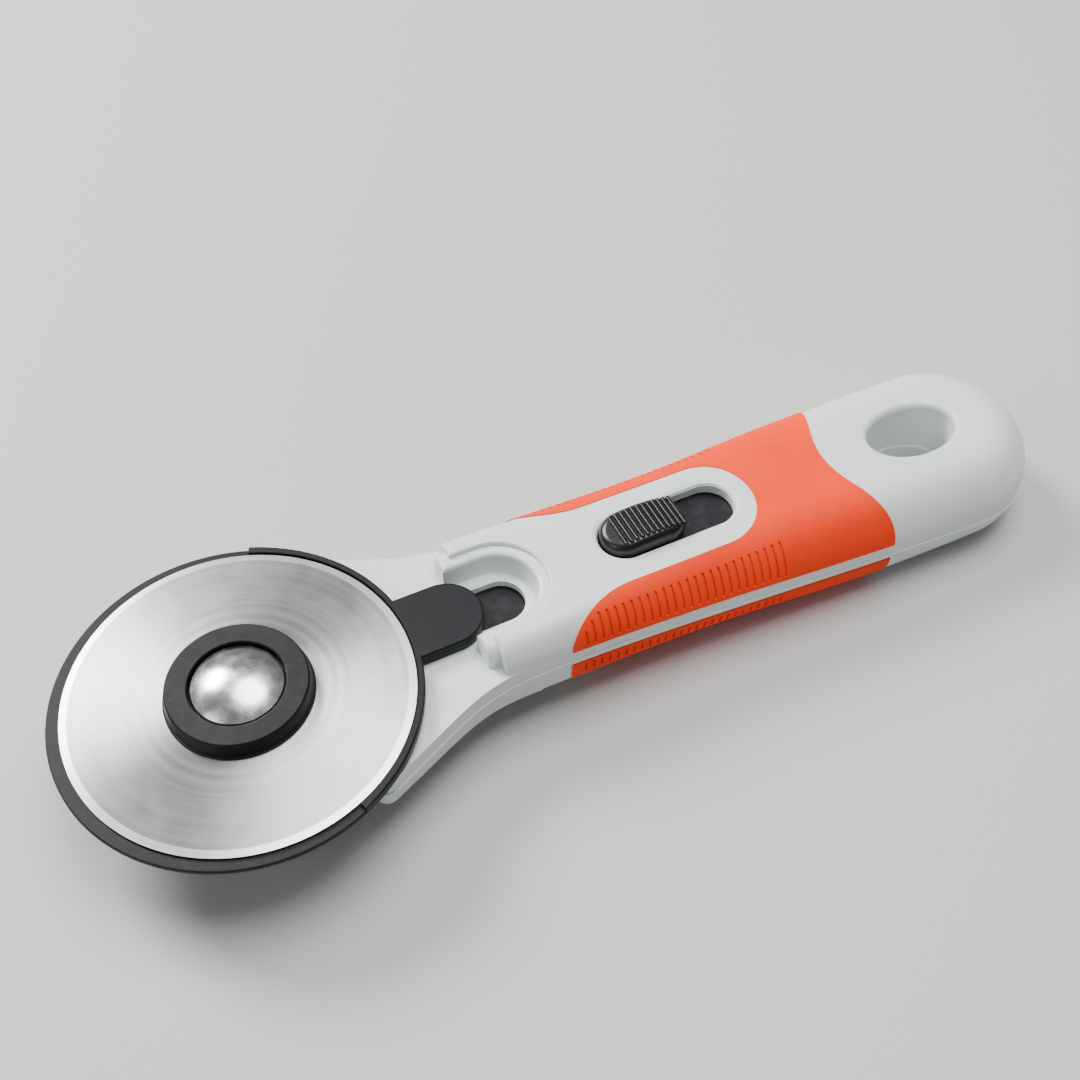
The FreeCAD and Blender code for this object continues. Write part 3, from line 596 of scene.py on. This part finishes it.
class Finishes:
    """Every finish of the cutter, by the record's slot."""

    def __init__(self) -> None:
        """Builds the finishes from the frame's places."""
        low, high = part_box("blade")
        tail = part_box("front_shell")[1].x
        finishes = [
            MouldedPlastic(
                name="shell_plastic",
                colour=srgb(219, 226, 223),
                worn=(0.86, 0.88, 0.86),
                grain=Grain.SATIN,
                roughness=0.34,
                wear=0.2,
                dust=0.25,
                stained_from=tail - STAIN_REACH,
                stained_to=tail,
            ),
            SoftRubber(
                name="grip_rubber",
                colour=(1.0, 0.05, 0.004),
                deep=(0.92, 0.042, 0.003),
                pale=(1.0, 0.16, 0.06),
                roughness=0.65,
            ),
            GroundBlade(
                name="blade_steel",
                centre=(low + high) / 2,
                radius=(high.x - low.x) / 2,
                bevel=BLADE_BEVEL,
                colour=(0.48, 0.48, 0.468),
            ),
            MouldedPlastic(
                name="black_plastic",
                colour=(0.005, 0.0055, 0.0075),
                worn=(0.05, 0.05, 0.055),
                grain=Grain.SPARKED,
                roughness=0.46,
                wear=0.2,
                dust=0.12,
                shine=0.22,
            ),
            MouldedPlastic(
                name="button_plastic",
                colour=(0.006, 0.0065, 0.0075),
                worn=(0.04, 0.04, 0.045),
                grain=Grain.GLOSSY,
                roughness=0.25,
                wear=0.1,
                dust=0.1,
                shine=0.45,
            ),
            PlatedMetal(name="bolt_chrome", colour=(0.7, 0.685, 0.66), roughness=0.19, pits=0.8),
            PlatedMetal("screw_steel", (0.55, 0.55, 0.54), 0.28, 0.2, grain_depth=0.01 * MM),
            PlatedMetal("insert_brass", (0.72, 0.5, 0.2), 0.25, 0.2, grain_depth=0.01 * MM),
        ]
        effects = Effects()
        self.slots: Dict[str, bpy.types.Material] = {}
        for finish in finishes:
            self.slots[finish.name] = finish.build(effects)

    def dress(self, piece: bpy.types.Object, slot: str) -> None:
        """Gives a piece one finish all over.

        Args:
            piece: The piece.
            slot: The record's material slot.
        """
        piece.data.materials.clear()
        piece.data.materials.append(self.slots[slot])


@dataclass
class CadPieces:
    """The pieces that keep their own CAD meshes and take their finishes here."""

    smooth_angle: float = math.radians(28.0)

    def dress(self, finishes: Finishes) -> None:
        """Smooths and finishes every CAD node.

        Args:
            finishes: The cutter's finishes.
        """
        for entry in frame["record"]["subparts"]:
            piece = frame["nodes"][entry["node"]]
            finishes.dress(piece, entry["material_slot"])
            deselect()
            piece.select_set(True)
            bpy.context.view_layer.objects.active = piece
            bpy.ops.object.shade_smooth_by_angle(angle=self.smooth_angle)
            log.info("dressed %s with %s", entry["node"], entry["material_slot"])
        deselect()


@dataclass
class Stage:
    """The floor, the lights and the camera."""

    floor_size: float = 3.0
    floor_drop: float = 0.00005
    lens: float = 43.33
    sensor: float = 36.0
    camera_offset: Tuple[float, float, float] = (-8.53 * MM, -127.35 * MM, 188.70 * MM)
    camera_right: Tuple[float, float, float] = (0.897, -0.442, 0.012)
    camera_up: Tuple[float, float, float] = (0.338, 0.702, 0.627)

    def build(self, floor_material: bpy.types.Material) -> None:
        """Builds the whole stage.

        Args:
            floor_material: The floor's material.
        """
        self.build_floor(floor_material)
        self.build_lights()
        self.build_camera()

    def build_floor(self, material: bpy.types.Material) -> None:
        """A plain pale floor under the cutter."""
        deselect()
        height = CAD_BOUNDS[0][2] - self.floor_drop
        bpy.ops.mesh.primitive_plane_add(size=self.floor_size, location=(0.0, 0.0, height))
        floor = bpy.context.object
        floor.name = "floor"
        bpy.ops.object.transform_apply(location=True, rotation=True, scale=True)
        floor.data.materials.append(material)

    def build_lights(self) -> None:
        """Soft studio lights and an even surround."""
        target = middle("front_shell")
        lights = [
            ("key", (-0.40, 0.80, 0.74), 0.5, 20.0, (1.0, 0.985, 0.96)),
            ("top", (0.2, 0.12, 1.1), 0.8, 15.0, (0.98, 0.99, 1.0)),
            ("side", (-0.9, -0.15, 0.6), 0.6, 2.0, (0.96, 0.98, 1.0)),
        ]
        for name, place, size, watts, colour in lights:
            bpy.ops.object.light_add(type="AREA", location=place)
            lamp = bpy.context.object
            lamp.name = name
            lamp.data.shape = "DISK"
            lamp.data.size = size
            lamp.data.energy = watts
            lamp.data.color = colour
            aim = (target - Vector(place)).to_track_quat("-Z", "Y")
            lamp.rotation_euler = aim.to_euler()
        world = bpy.data.worlds.new("surround")
        world.use_nodes = True
        background = world.node_tree.nodes["Background"]
        background.inputs["Color"].default_value = SURROUND_COLOUR
        background.inputs["Strength"].default_value = SURROUND_STRENGTH
        bpy.context.scene.world = world

    def build_camera(self) -> None:
        """The camera, placed from the blade's top face."""
        low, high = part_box("blade")
        centre = Vector(((low.x + high.x) / 2, (low.y + high.y) / 2, high.z))
        right = Vector(self.camera_right).normalized()
        up = Vector(self.camera_up)
        up = (up - right * up.dot(right)).normalized()
        back = right.cross(up)
        turn = Matrix((right, up, back)).transposed().to_4x4()
        data = bpy.data.cameras.new("camera")
        data.lens = self.lens
        data.sensor_width = self.sensor
        data.clip_start = 0.01
        camera = bpy.data.objects.new("camera", data)
        camera.matrix_world = Matrix.Translation(centre + Vector(self.camera_offset)) @ turn
        bpy.context.scene.collection.objects.link(camera)
        bpy.context.scene.camera = camera


def floor_finish() -> bpy.types.Material:
    """A plain pale matte floor."""
    material = bpy.data.materials.new("floor_paper")
    material.use_nodes = True
    shader = material.node_tree.nodes["Principled BSDF"]
    shader.inputs["Base Color"].default_value = FLOOR_COLOUR
    shader.inputs["Roughness"].default_value = 0.6
    return material


def main() -> None:
    """Builds the looks of the cutter and the stage round it."""
    logging.basicConfig(level=logging.INFO, format="%(name)s: %(message)s")
    finishes = Finishes()
    CadPieces().dress(finishes)
    Stage().build(floor_finish())


if __name__ == "__main__":
    main()
